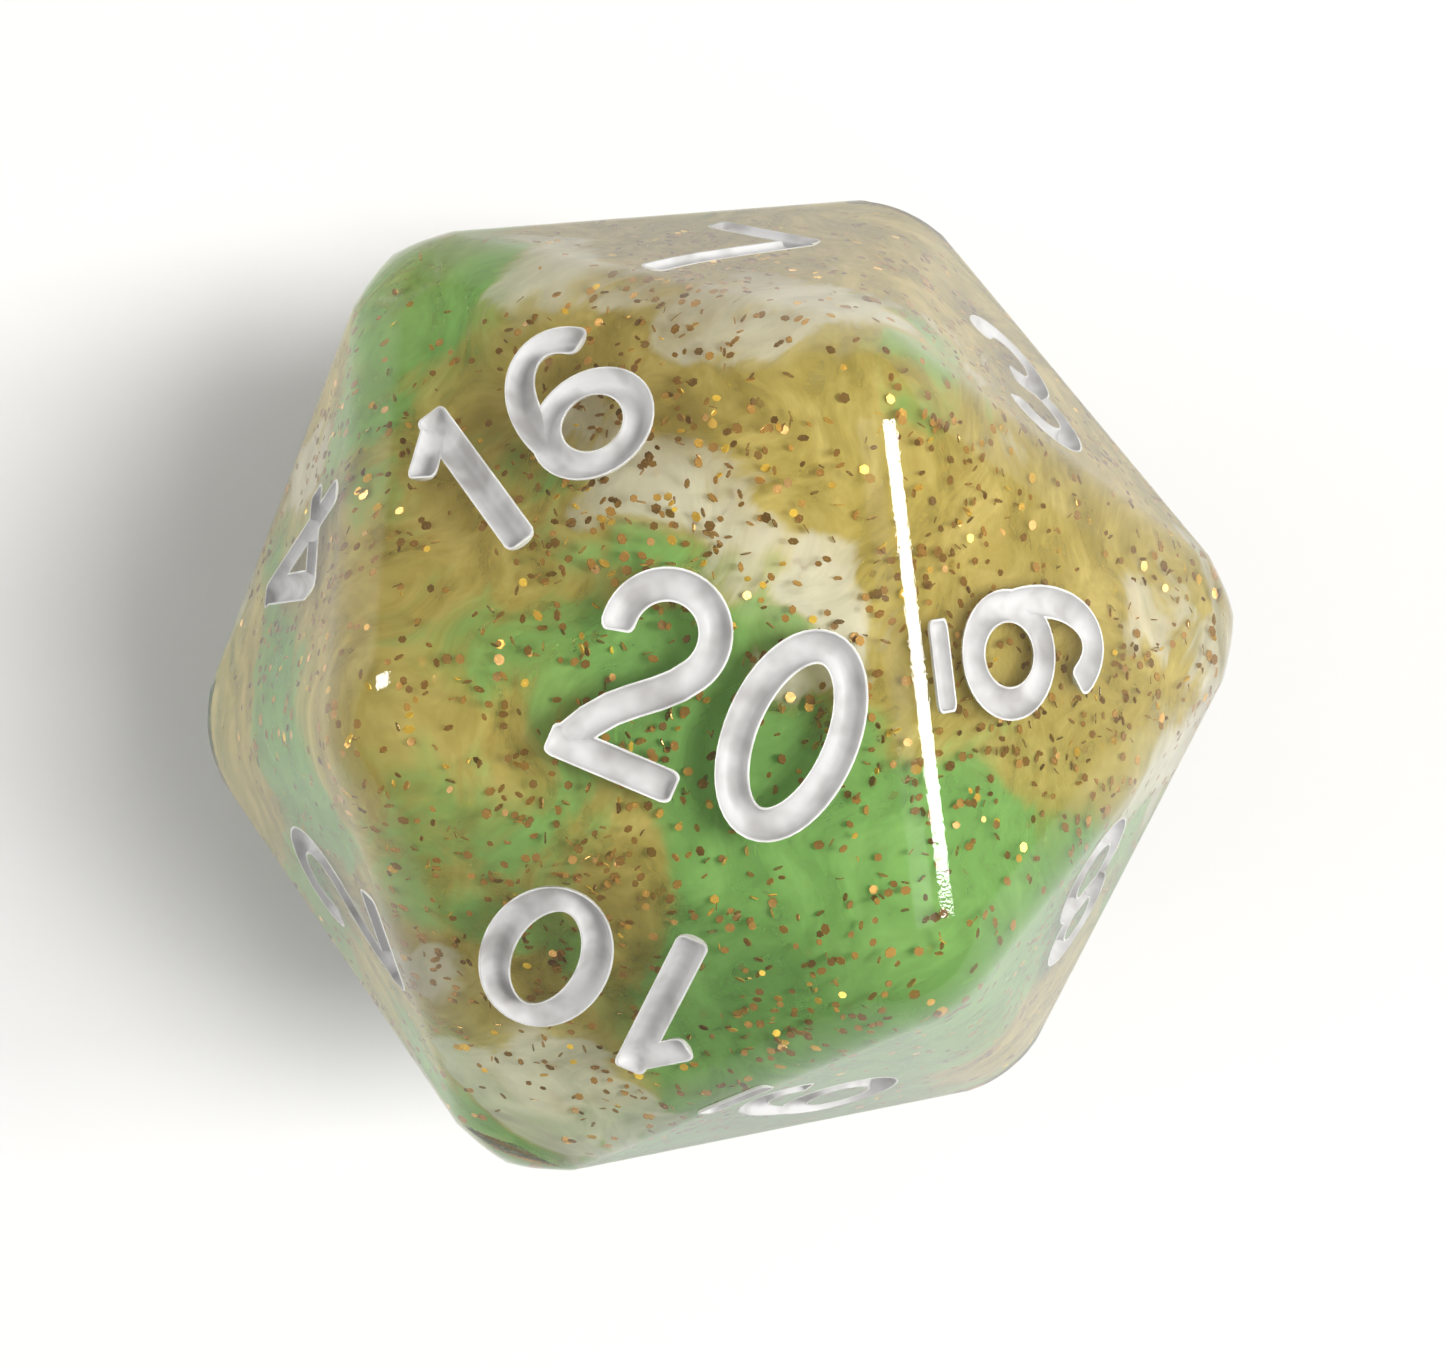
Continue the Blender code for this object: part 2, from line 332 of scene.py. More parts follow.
def strokeTube(points, ends, radius, height, endShift, wobble=None):
    # a round tube along the line, its middle at that height over the face; endShift draws free ends in or out
    line = list(points)
    radii = list(wobble) if wobble is not None else [1.0] * len(line)
    if ends in ("first", "both"):
        line, radii = endTapered(line, radii, endShift)
    if ends in ("last", "both"):
        line, radii = endTapered(line[::-1], radii[::-1], endShift)
    data = bpy.data.curves.new("stroke", "CURVE")
    data.dimensions = "3D"
    data.twist_mode = "Z_UP"
    data.bevel_depth = radius
    data.bevel_resolution = numerals["strokeSides"]
    data.use_fill_caps = True
    spline = data.splines.new("POLY")
    spline.points.add(len(line) - 1)
    for place, (target, point) in enumerate(zip(spline.points, line)):
        target.co = (point.x, point.y, height, 1.0)
        target.radius = radii[place]
    spline.use_cyclic_u = ends == "ring"
    tube = helperObject("stroke", data)
    solid = helperObject("strokeSolid", bakedMesh(tube, "strokeSolid"))
    bpy.data.objects.remove(tube)
    return solid


def joined(solids, name):
    for other in solids[1:]:
        cut(solids[0], other, "UNION")
    mesh = bakedMesh(solids[0], name)
    for solid in solids:
        bpy.data.objects.remove(solid)
    return mesh


def glyphPlaces():
    # every digit and bar as (CAD node, glyph, matrix)
    places = []
    for number, face in sorted(faces.items()):
        digits = [int(character) for character in str(number)]
        pitches = [numerals["narrowPitch"] if digit == 1 else numerals["pitch"] for digit in digits]
        left = -sum(pitches) / 2
        labels = ("_tens", "_units") if len(digits) == 2 else ("",)
        for digit, pitch, label in zip(digits, pitches, labels):
            shift = Matrix.Translation((left + pitch / 2, -numerals["drop"], 0))
            places.append((f"paint_{number}{label}", digit, face @ shift))
            left += pitch
        if number in (6, 9):
            shift = Matrix.Translation((0, -numerals["barDrop"], 0))
            places.append((f"paint_{number}_bar", "bar", face @ shift))
    return places


casting = {
    "ior": 1.52,             # cured epoxy
    "roughness": 0.02,
    "tint": "#FBFCF4",
    "hazeSize": 3.0 * mm,    # patches where tumbling left the gloss a little softer
    "rippleSize": 1.6 * mm,
    "rippleDepth": 0.012 * mm,
    "gritSize": 0.08 * mm,   # marks of the last tumbling, drawn at twice their real 0.04 mm
    "gritDepth": 0.006 * mm,
}


def polishedNormals(mesh):
    # flat faces stay flat and rounded edges round, whatever triangles the engraving left on them
    mesh.shade_smooth()
    normals = [Vector((0, 0, 0))] * len(mesh.loops)
    coords = [vertex.co for vertex in mesh.vertices]
    for polygon in mesh.polygons:
        centre = polygon.center
        near, _, _, gap = core.find_nearest(centre)
        outward = (centre - near).normalized()
        outside = gap > die["edgeRadius"] - 0.14 * mm and polygon.normal.dot(outward) > 0.85
        for place in polygon.loop_indices:
            if outside:
                corner = coords[mesh.loops[place].vertex_index]
                near = core.find_nearest(corner)[0]
                normals[place] = (corner - near).normalized()
            else:
                normals[place] = polygon.normal.copy()
    mesh.normals_split_custom_set(normals)


def clearResin():
    # Tumbled epoxy: glass-clear, a soft wet gloss that is very slightly hazed and rippled by the tumbling
    material, tree = emptyMaterial("tumbledClearEpoxy")
    coords = addNode(tree, "ShaderNodeTexCoord")
    haze = addNode(tree, "ShaderNodeTexNoise", {
        "Vector": coords.outputs["Object"], "Scale": 1 / casting["hazeSize"], "Detail": 3.0,
    })
    rough = addNode(tree, "ShaderNodeMapRange", {
        "Value": haze.outputs["Fac"], "From Min": 0.35, "From Max": 0.75,
        "To Min": casting["roughness"], "To Max": casting["roughness"] * 2.5,
    })
    ripple = addNode(tree, "ShaderNodeTexNoise", {
        "Vector": coords.outputs["Object"], "Scale": 1 / casting["rippleSize"], "Detail": 1.0,
    })
    # grit marks show at the edge of a highlight
    grit = addNode(tree, "ShaderNodeTexNoise", {
        "Vector": coords.outputs["Object"], "Scale": 1 / casting["gritSize"], "Detail": 1.0,
    })
    softBump = addNode(tree, "ShaderNodeBump", {
        "Height": ripple.outputs["Fac"], "Strength": 0.25, "Distance": casting["rippleDepth"],
    })
    bump = addNode(tree, "ShaderNodeBump", {
        "Height": grit.outputs["Fac"], "Strength": 0.3, "Distance": casting["gritDepth"],
        "Normal": softBump.outputs["Normal"],
    })
    shader = addNode(tree, "ShaderNodeBsdfPrincipled", {
        "Base Color": linear(casting["tint"]), "Roughness": rough.outputs["Result"], "IOR": casting["ior"],
        "Transmission Weight": 1.0, "Normal": bump.outputs["Normal"],
    })
    # lamps shine straight in, so the pigment inside is lit as softly as in a real casting
    letThrough = addNode(tree, "ShaderNodeBsdfTransparent")
    path = addNode(tree, "ShaderNodeLightPath")
    mix = addNode(tree, "ShaderNodeMixShader", {
        0: path.outputs["Is Shadow Ray"], 1: shader.outputs[0], 2: letThrough.outputs[0],
    })
    addNode(tree, "ShaderNodeOutputMaterial", {"Surface": mix.outputs[0]})
    return material


def buildCasting():
    engraving = bpy.data.collections.new("engraving")
    grooves = {}
    for glyph in list(range(10)) + ["bar"]:
        lines, radius = glyphLines(glyph)
        # a hair above the face, so that no edge of the cutter runs along it
        tubes = [strokeTube(points, ends, radius, 0.01 * mm, 0) for points, ends in lines]
        grooves[glyph] = joined(tubes, f"groove{glyph}")
    cutters = []
    for name, glyph, place in glyphPlaces():
        cutter = bpy.data.objects.new("cut_" + name, grooves[glyph])
        engraving.objects.link(cutter)
        cutter.matrix_world = place
        cutters.append(cutter)
    blank = helperObject("blank", dieBlank("blank"))
    cut(blank, engraving, "DIFFERENCE")
    bpy.context.view_layer.update()
    mesh = bakedMesh(blank, "resin_casting")
    bpy.data.objects.remove(blank)
    for cutter in cutters:
        bpy.data.objects.remove(cutter)
    bpy.data.collections.remove(engraving)
    polishedNormals(mesh)
    pours = [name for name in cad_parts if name.startswith("resin_")]
    return addPiece("resin_casting", mesh, clearResin(), pours)


buildCasting()
print("resin casting engraved")

paint = {
    "grip": 0.015 * mm,        # paint keyed into the wall of the groove
    "meniscusRadius": 0.305 * mm,
    "meniscusHeight": 0.02 * mm,
    "endWall": 0.035 * mm,
    "recess": 0.004 * mm,
    "ragged": 0.02,            # share of the radius that the wiped edge wanders
    "white": "#CBCAC8",
    "thin": "#A9A6A3",         # grey of thin wiped paint, also used as the painted shade at the bottom of the groove
    "paintedGrooveShade": 0.09,           # painted shade: how much of its white the paint loses at the bottom of the groove
    "grain": 0.12 * mm,
    "grainDepth": 0.012 * mm,
    "patchSize": 0.9 * mm,     # from one thin place to the next
    "wanderStep": 0.16 * mm,
}


def paintMaterial():
    # White acrylic wiped into the engraving: dry satin, a little grey and streaky where it is thin, with
    # painted shade greying it towards the bottom of the groove
    material, tree = emptyMaterial("wipedWhiteAcrylic")
    coords = addNode(tree, "ShaderNodeTexCoord")
    patches = addNode(tree, "ShaderNodeTexNoise", {
        "Vector": coords.outputs["Object"], "Scale": 1 / paint["patchSize"], "Detail": 2.0,
        "Roughness": 0.5,
    })
    # painted shade: the depth in the groove greys the paint, as if shade fell at the bottom of the groove
    sunk = addNode(tree, "ShaderNodeAttribute", attribute_name="sunk")
    thickness = addNode(tree, "ShaderNodeMath", {
        0: sunk.outputs["Fac"], 1: -paint["paintedGrooveShade"], 2: patches.outputs["Fac"],
    }, operation="MULTIPLY_ADD")
    tone = addNode(tree, "ShaderNodeValToRGB", {"Fac": thickness.outputs[0]})
    tone.color_ramp.elements[0].position = 0.26
    tone.color_ramp.elements[0].color = linear(paint["thin"])
    tone.color_ramp.elements[1].position = 0.52
    tone.color_ramp.elements[1].color = linear(paint["white"])
    grain = addNode(tree, "ShaderNodeTexNoise", {
        "Vector": coords.outputs["Object"], "Scale": 1 / paint["grain"], "Detail": 2.0,
    })
    bump = addNode(tree, "ShaderNodeBump", {
        "Height": grain.outputs["Fac"], "Strength": 0.5, "Distance": paint["grainDepth"],
    })
    rough = addNode(tree, "ShaderNodeMapRange", {
        "Value": patches.outputs["Fac"], "To Min": 0.30, "To Max": 0.55,
    })
    shader = addNode(tree, "ShaderNodeBsdfPrincipled", {
        "Base Color": tone.outputs["Color"], "Roughness": rough.outputs["Result"], "IOR": 1.5,
        "Normal": bump.outputs["Normal"],
    })
    addNode(tree, "ShaderNodeOutputMaterial", {"Surface": shader.outputs[0]})
    return material


def raggedRadii(count, ends, random):
    # a slow seeded wander along the stroke, the same at both ends of a loop
    turns = np.linspace(0, 2 * pi, count, endpoint=ends != "ring")
    wander = sum(
        random.normal() * np.sin(turns * order + random.uniform(0, 2 * pi)) / sqrt(order)
        for order in range(2, 14)
    )
    return 1 + paint["ragged"] * 0.35 * wander


def paintMesh(name, glyph, random):
    lines, radius = glyphLines(glyph)
    scale = radius / (numerals["stroke"] / 2)
    outer = []
    inner = []
    for points, ends in lines:
        outer.append(strokeTube(points, ends, radius + paint["grip"], 0, -paint["grip"]))
        dense = finer(points, ends, paint["wanderStep"])
        wander = raggedRadii(len(dense), ends, random)
        inner.append(strokeTube(dense, ends, paint["meniscusRadius"] * scale, paint["meniscusHeight"] * scale,
                                paint["endWall"], wander))
    solid = helperObject(name, joined(outer, name))
    hollow = helperObject("hollow", joined(inner, "hollow"))
    slab = bmesh.new()
    bmesh.ops.create_cube(slab, size=8 * mm, matrix=Matrix.Translation((0, 0, -4 * mm - paint["recess"])))
    slabMesh = bpy.data.meshes.new("slab")
    slab.to_mesh(slabMesh)
    slab.free()
    level = helperObject("level", slabMesh)
    cut(solid, level, "INTERSECT")
    cut(solid, hollow, "DIFFERENCE")
    mesh = bakedMesh(solid, name)
    for helper in (solid, hollow, level):
        bpy.data.objects.remove(helper)
    mesh.shade_smooth()
    mesh.set_sharp_from_angle(angle=radians(40))
    # depth in the groove, which the paint material turns into painted shade
    sunk = mesh.attributes.new("sunk", "FLOAT", "POINT")
    sunk.data.foreach_set("value", [min(max(-vertex.co.z / radius, 0), 1) for vertex in mesh.vertices])
    return mesh


def buildPaint():
    material = paintMaterial()
    random = np.random.default_rng(20)
    for name, glyph, place in glyphPlaces():
        mesh = paintMesh(name, glyph, random)
        mesh.transform(place)
        addPiece(name.replace("paint_", "numeral_paint_"), mesh, material, [name])


buildPaint()
print("numerals painted")

# the three colours of resin hang as veils of pigment at several depths
swirl = {
    # depth under a face, how round the veil has become, how far it billows
    "veils": (
        (0.95, 0.00, 0.06), (1.5, 0.12, 0.12), (2.2, 0.3, 0.22), (3.1, 0.5, 0.32),
        (4.3, 0.8, 0.42), (5.8, 1.0, 0.5), (7.6, 1.0, 0.5),
    ),
    "green": "#7EB45C",
    "paleGreen": "#9CC676",
    "amber": "#CAB866",
    "deepAmber": "#AB9A48",
    "gold": "#DCC97F",
    "milk": "#F2EEDA",
    "greenBody": 0.60,   # share of the light that one veil of the pigment stops
    "amberBody": 0.58,
    "milkBody": 0.56,
    "curl": 0.6,         # mm that the pour's slow currents carried a colour
    "curlLength": 5.5,   # mm between one such curl and the next
    "driftSize": 3.2 * mm,   # stirring bends the threads over this length
    "driftReach": 5.0 * mm,
    "bandSize": 4 * mm,
    "streakSize": 1.5 * mm,
    "strandSize": 0.5 * mm,
}

# patches of colour: face, mm across and up on it, mm deep, mm in radius
patches = {
    "green": (
        (20, -6.4, 2.2, 1.5, 1.7), (20, -4.4, -0.6, 1.5, 1.2), (20, -3.4, -1.4, 2, 0.8),
        (20, -5.0, -5.0, 1.5, 1.5), (20, -1.4, -5.8, 1.5, 1.3), (16, 0.2, -4.6, 1.5, 1.2),
        (20, 1.9, -3.4, 2, 1.3), (20, 3.4, -2.6, 2, 1.5), (20, 5.2, -3.2, 1.5, 1.3),
        (20, -1.8, 0.8, 2, 0.9), (20, -0.4, -1.4, 2, 0.9), (20, 1.5, -1.6, 2, 1.0),
        (16, -2.6, 3.8, 1.5, 1.35), (16, -3.2, 0.8, 1.5, 1.2), (16, -1.2, -3.8, 2, 1.3),
        (16, -4.6, -2.6, 2, 0.9), (6, 3.4, -0.8, 1.5, 1.7), (6, 3.2, -3.2, 1.5, 1.6),
        (10, -4.0, 2.0, 1.5, 1.5), (10, -2.8, -0.6, 1.5, 1.9), (10, 3.6, 0.6, 1.5, 1.3),
        (10, 1.8, -3.2, 2, 1.1), (10, -3.4, -3.4, 2, 1.5), (7, -4.4, -3.4, 1.5, 1.5),
        (3, -4.0, -1.8, 1.5, 1.1), (8, 2.2, 0.2, 1.5, 1.5), (8, 3.4, -2.4, 1.5, 1.5),
        (8, -1.2, -0.6, 1.5, 1.0), (9, 0.0, 0.4, 1.5, 2.4), (9, -3.0, -2.6, 1.5, 2.0),
        (2, -0.6, 1.6, 1.5, 1.4), (2, 2.6, 0.4, 1.5, 1.1), (2, -3.6, -2.0, 1.5, 1.0),
        (4, -1.8, 1.6, 1.5, 1.2), (4, 2.0, 2.0, 1.5, 1.1), (4, 3.8, -3.8, 1.5, 1.4),
        (14, 0.0, 1.0, 2, 2.2), (12, 1.0, -2.0, 2, 2.0), (17, -2.0, 0.0, 2, 1.9), (18, 2.0, 1.0, 2, 1.8),
        (1, 1.0, 1.0, 2, 2.2), (5, -1.5, -1.0, 2, 1.8), (15, 0.5, 2.0, 2, 1.8),
    ),
    "amber": (
        (20, 0.0, 4.4, 2, 1.5), (20, -0.6, -3.0, 2, 0.9), (20, 0.4, -4.8, 2, 1.0),
        (20, 4.6, -4.6, 1.5, 0.8), (20, 3.2, -0.6, 2, 0.8), (20, 3.2, 4.0, 2, 1.6),
        (20, -3.2, -2.2, 2, 1.1), (20, -6.1, -2.6, 1.5, 1.5), (10, 3.2, -2.0, 2, 1.3),
        (20, 3.6, 0.6, 2, 1.0), (20, 0.6, -0.2, 3, 0.8), (16, 0.0, 0.6, 2, 1.5), (16, 3.0, -1.4, 2, 1.7),
        (16, -1.6, -2.2, 2, 1.3), (16, -0.4, 3.4, 2, 0.9), (16, 1.0, -2.8, 2, 1.1),
        (6, -3.0, 2.0, 2, 1.9), (6, 0.2, 0.4, 2, 2.0), (6, 1.6, 3.2, 1.5, 1.3), (6, -3.2, -2.0, 2, 1.5),
        (6, 0.0, -2.6, 2, 1.1), (10, 0.2, 1.4, 2, 1.2), (10, -2.0, 2.4, 2, 0.8), (10, -4.4, -2.4, 2, 0.9),
        (9, -3.2, 1.6, 2, 0.9), (10, -0.2, -2.2, 2, 1.1), (10, -1.2, 4.4, 1.5, 0.9),
        (10, 2.0, 4.2, 1.5, 0.9), (7, 0.0, 3.4, 2, 1.9), (7, 0.6, -4.2, 1.5, 1.5), (7, -1.2, 0.6, 2, 1.2),
        (7, 2.0, 0.8, 1.5, 1.2), (3, -1.6, 1.0, 1.5, 1.2), (3, 0.0, 3.4, 2, 1.9), (3, 2.6, -1.4, 2, 1.8),
        (3, 0.6, -3.4, 1.5, 1.2), (8, -0.4, 3.4, 1.5, 1.6), (8, 0.8, -3.4, 1.5, 1.5),
        (8, -3.6, -3.2, 2, 1.0), (9, 2.6, 1.6, 2, 1.1), (9, -1.6, 3.0, 2, 1.1), (2, 1.0, -2.6, 1.5, 2.0),
        (2, -2.6, 0.6, 1.5, 1.0), (2, 0.6, 4.0, 1.5, 1.0), (4, -2.8, -1.6, 1.5, 1.9),
        (4, 0.4, -3.6, 1.5, 1.6), (4, 0.0, 4.2, 1.5, 1.1), (13, 0.0, 0.0, 2, 2.4), (19, 1.0, 1.0, 2, 2.2),
        (11, -1.0, 0.5, 2, 2.3), (1, -2.0, -2.0, 2, 1.9), (18, -2.0, -2.0, 2, 1.7), (5, 2.0, 2.0, 2, 1.9),
        (17, 2.4, 2.0, 2, 1.6), (12, -1.0, 2.4, 2, 1.9), (14, -2.6, -2.6, 2, 1.6),
    ),
    "milk": (
        (20, -4.5, 3.4, 2, 1.1), (20, -3.5, 2.8, 2.5, 1.1), (20, -2.4, 2.4, 3, 1.1),
        (20, -1.2, 2.2, 2.5, 1.0), (20, 0.0, 1.9, 2.5, 0.8), (20, -5.6, 4.8, 1, 0.9),
        (16, 0.9, 4.4, 1, 1.5), (16, 0.6, 3.0, 1.5, 0.7), (16, 4.2, 2.4, 1.5, 1.2),
        (16, 2.0, -4.4, 1.5, 1.2), (6, 0.2, 4.9, 1, 1.8), (6, -1.4, -4.2, 2, 1.1),
        (10, -2.0, 3.8, 1, 0.8), (10, 0.0, 3.1, 1, 1.0), (10, 3.6, 3.0, 1, 1.0), (7, 2.6, -1.2, 1.5, 0.9),
        (7, -2.6, -2.2, 1, 1.1), (7, 3.2, -2.8, 1.5, 0.9), (3, -2.6, -0.8, 1.5, 1.0),
        (3, 3.8, -4.6, 1, 1.1), (3, -1.4, -3.0, 1.5, 1.0), (8, -3.4, -1.0, 1, 1.1),
        (9, 3.2, -3.8, 1, 1.3), (9, 0.6, -2.4, 2, 0.7), (2, -1.4, -2.2, 1, 0.8), (2, -1.0, -3.8, 1, 0.8),
        (4, 2.6, 0.4, 1, 1.0), (13, 2.4, -2.4, 2, 1.5), (19, -2.0, -2.0, 2, 1.5), (12, 2.6, 1.0, 2, 1.3),
        (1, 2.4, -2.0, 2, 1.3), (15, -2.0, -1.0, 2, 1.5), (18, 0.0, 3.4, 2, 1.1),
    ),
}


def waves(points, length, seed):
    # a slow seeded vector field, about -1 to 1, that turns over once every length
    random = np.random.default_rng(seed)
    field = np.zeros((len(points), 3))
    for _ in range(7):
        direction = random.normal(size=3)
        direction *= random.uniform(0.7, 1.5) * 2 * pi / length / np.linalg.norm(direction)
        phase = points @ direction + random.uniform(0, 2 * pi)
        field += np.sin(phase)[:, None] * random.normal(size=3)
    return field / 2.6


def patchCentres(colour):
    centres = []
    for number, across, up, deep, _ in patches[colour]:
        centres.append((faces[number] @ Vector((across * mm, up * mm, -deep * mm)) - middle) / mm)
    spread = [patch[4] * (1.0 if patch[0] in (20, 16, 6, 10) else 1.15) for patch in patches[colour]]
    return np.array([tuple(centre) for centre in centres]), np.array(spread)


def pourWeights(points):
    # how much of each colour is at each point, in mm from the middle of the die; the three add up to 1
    drawn = points + swirl["curl"] * waves(points, swirl["curlLength"], 5) + 0.35 * waves(points, 2.1, 9)
    totals = []
    for colour, floorLevel in (("green", 0.055), ("amber", 0.075), ("milk", 0.02)):
        centres, radii = patchCentres(colour)
        squares = ((drawn[:, None, :] - centres[None]) ** 2).sum(-1)
        totals.append(floorLevel + np.exp(-squares / (2 * (radii * 0.95) ** 2)).sum(1))
    weights = np.array(totals).T ** 1.6
    return weights / weights.sum(1, keepdims=True)


def pigmentMaterial():
    # Pearl pigment drifting in epoxy: cloudy veils that glow through each other, with finer threads where
    # they were stirred
    material, tree = emptyMaterial("stirredPearlPigment")
    coords = addNode(tree, "ShaderNodeTexCoord")
    pour = addNode(tree, "ShaderNodeAttribute", attribute_name="pour")
    parts = addNode(tree, "ShaderNodeSeparateColor", {"Color": pour.outputs["Color"]})
    warp = addNode(tree, "ShaderNodeTexNoise", {
        "Vector": coords.outputs["Object"], "Scale": 1 / swirl["driftSize"], "Detail": 1.0,
    })
    offset = addNode(tree, "ShaderNodeVectorMath", {
        0: warp.outputs["Color"], 1: (0.5, 0.5, 0.5),
    }, operation="SUBTRACT")
    carried = addNode(tree, "ShaderNodeVectorMath", {
        0: offset.outputs[0], "Scale": swirl["driftReach"],
    }, operation="SCALE")
    moved = addNode(tree, "ShaderNodeVectorMath", {
        0: coords.outputs["Object"], 1: carried.outputs[0],
    }, operation="ADD")
    # the pour dragged the threads out along one direction
    dragged = addNode(tree, "ShaderNodeMapping", {
        "Vector": moved.outputs[0], "Rotation": (0, 0, radians(-23)), "Scale": (1.5, 0.55, 1.0),
    })
    threads = addNode(tree, "ShaderNodeTexNoise", {
        "Vector": dragged.outputs[0], "Scale": 1 / swirl["streakSize"], "Detail": 3.0,
        "Roughness": 0.55,
    })
    bands = addNode(tree, "ShaderNodeTexWave", {
        "Vector": moved.outputs[0], "Scale": 1 / swirl["bandSize"], "Distortion": 3.0, "Detail": 2.0,
        "Detail Scale": 1.2,
    }, wave_type="BANDS", bands_direction="DIAGONAL")

    shake = addNode(tree, "ShaderNodeMath", {
        0: threads.outputs["Fac"], 1: 1.10, 2: -0.55,
    }, operation="MULTIPLY_ADD")
    greenShare = addNode(tree, "ShaderNodeMath", {
        0: parts.outputs["Red"], 1: shake.outputs[0],
    }, operation="ADD")
    milkShare = addNode(tree, "ShaderNodeMath", {
        0: parts.outputs["Blue"], 1: shake.outputs[0],
    }, operation="SUBTRACT")
    greenMask = addNode(tree, "ShaderNodeMapRange", {
        "Value": greenShare.outputs[0], "From Min": 0.30, "From Max": 0.66,
    }, interpolation_type="SMOOTHSTEP")
    milkMask = addNode(tree, "ShaderNodeMapRange", {
        "Value": milkShare.outputs[0], "From Min": 0.34, "From Max": 0.56,
    }, interpolation_type="SMOOTHSTEP")

    strands = addNode(tree, "ShaderNodeTexNoise", {
        "Vector": dragged.outputs[0], "Scale": 1 / swirl["strandSize"], "Detail": 3.0,
        "Roughness": 0.6,
    })
    banded = addNode(tree, "ShaderNodeMix", {0: 0.16, 2: threads.outputs["Fac"], 3: bands.outputs["Fac"]})
    stirred = addNode(tree, "ShaderNodeMix", {0: 0.34, 2: banded.outputs[0], 3: strands.outputs["Fac"]})
    amberTone = addNode(tree, "ShaderNodeValToRGB", {"Fac": stirred.outputs[0]})
    amberTone.color_ramp.elements[0].position = 0.30
    amberTone.color_ramp.elements[0].color = linear(swirl["deepAmber"])
    amberTone.color_ramp.elements[1].position = 0.70
    amberTone.color_ramp.elements[1].color = linear(swirl["gold"])
    middleTone = amberTone.color_ramp.elements.new(0.5)
    middleTone.color = linear(swirl["amber"])
    greenTone = addNode(tree, "ShaderNodeMix", {
        0: threads.outputs["Fac"], 6: linear(swirl["green"]), 7: linear(swirl["paleGreen"]),
    }, data_type="RGBA")
    withGreen = addNode(tree, "ShaderNodeMix", {
        0: greenMask.outputs[0], 6: amberTone.outputs["Color"], 7: greenTone.outputs[2],
    }, data_type="RGBA")
    withMilk = addNode(tree, "ShaderNodeMix", {
        0: milkMask.outputs[0], 6: withGreen.outputs[2], 7: linear(swirl["milk"]),
    }, data_type="RGBA")

    bodyGreen = addNode(tree, "ShaderNodeMix", {
        0: greenMask.outputs[0], 2: swirl["amberBody"], 3: swirl["greenBody"],
    })
    bodyMilk = addNode(tree, "ShaderNodeMix", {
        0: milkMask.outputs[0], 2: bodyGreen.outputs[0], 3: swirl["milkBody"],
    })
    density = addNode(tree, "ShaderNodeMapRange", {
        "Value": stirred.outputs[0], "From Min": 0.35, "From Max": 0.65, "To Min": 0.72,
        "To Max": 1.22,
    })
    body = addNode(tree, "ShaderNodeMath", {
        0: bodyMilk.outputs[0], 1: density.outputs[0],
    }, operation="MULTIPLY", use_clamp=True)

    front = addNode(tree, "ShaderNodeBsdfDiffuse", {"Color": withMilk.outputs[2]})
    through = addNode(tree, "ShaderNodeBsdfTranslucent", {"Color": withMilk.outputs[2]})
    glow = addNode(tree, "ShaderNodeMixShader", {0: 0.45, 1: front.outputs[0], 2: through.outputs[0]})
    clear = addNode(tree, "ShaderNodeBsdfTransparent")
    mix = addNode(tree, "ShaderNodeMixShader", {
        0: body.outputs[0], 1: clear.outputs[0], 2: glow.outputs[0],
    })
    addNode(tree, "ShaderNodeOutputMaterial", {"Surface": mix.outputs[0]})
    return material


def unitSphere(subdivisions):
    work = bmesh.new()
    bmesh.ops.create_icosphere(work, subdivisions=subdivisions, radius=1)
    mesh = bpy.data.meshes.new("sphere")
    work.to_mesh(mesh)
    work.free()
    directions = np.zeros(len(mesh.vertices) * 3)
    mesh.vertices.foreach_get("co", directions)
    return mesh, directions.reshape(-1, 3)


def surfaceReach(directions):
    # mm from the middle of the die to its rounded surface along each direction
    work = bmesh.new()
    work.from_mesh(dieBlank("reach"))
    tree = BVHTree.FromBMesh(work)
    work.free()
    return np.array([tree.ray_cast(middle, Vector(direction))[3] for direction in directions]) / mm


def buildVeils():
    material = pigmentMaterial()
    for order, (depth, roundness, billow) in enumerate(swirl["veils"]):
        mesh, directions = unitSphere(7 if order < 2 else 6)
        reach = surfaceReach(directions)
        faceReach = inradius / mm
        sunk = reach * (1 - depth / faceReach)
        radius = sunk * (1 - roundness) + (faceReach - depth) * roundness
        radius += billow * waves(directions * 10, 7.0, 40 + order)[:, 0]
        points = directions * radius[:, None]
        weights = pourWeights(points)
        mesh.vertices.foreach_set("co", (points * mm + np.array(middle)).ravel())
        attribute = mesh.color_attributes.new("pour", "FLOAT_COLOR", "POINT")
        colours = np.hstack([weights, np.ones((len(weights), 1))])
        attribute.data.foreach_set("color", colours.ravel().astype(np.float32))
        mesh.shade_smooth()
        mesh.update()
        addPiece(f"pigment_veil_{order + 1}", mesh, material)


buildVeils()
print("pigment stirred in")

glitter = {
    "count": 17000,
    "radius": (0.065, 0.115),     # mm
    "thickness": 0.022,         # mm
    "lying": 1.0,               # how strongly the flakes settled to lie along the surface
    "nearShare": 0.6,           # this share lies in the clear skin of resin over the pigment
    "nearDepth": (0.52, 0.95),  # mm
    "farDepth": (0.95, 5.0),    # mm
    # painted shade and painted glint: flake colours run from a brown that stands for a flake in shade, over
    # the copper of the film, to a gold that stands for one lit by a lamp
    "dark": "#6A4E20",
    "copper": "#B08440",
    "gold": "#FFD648",
}


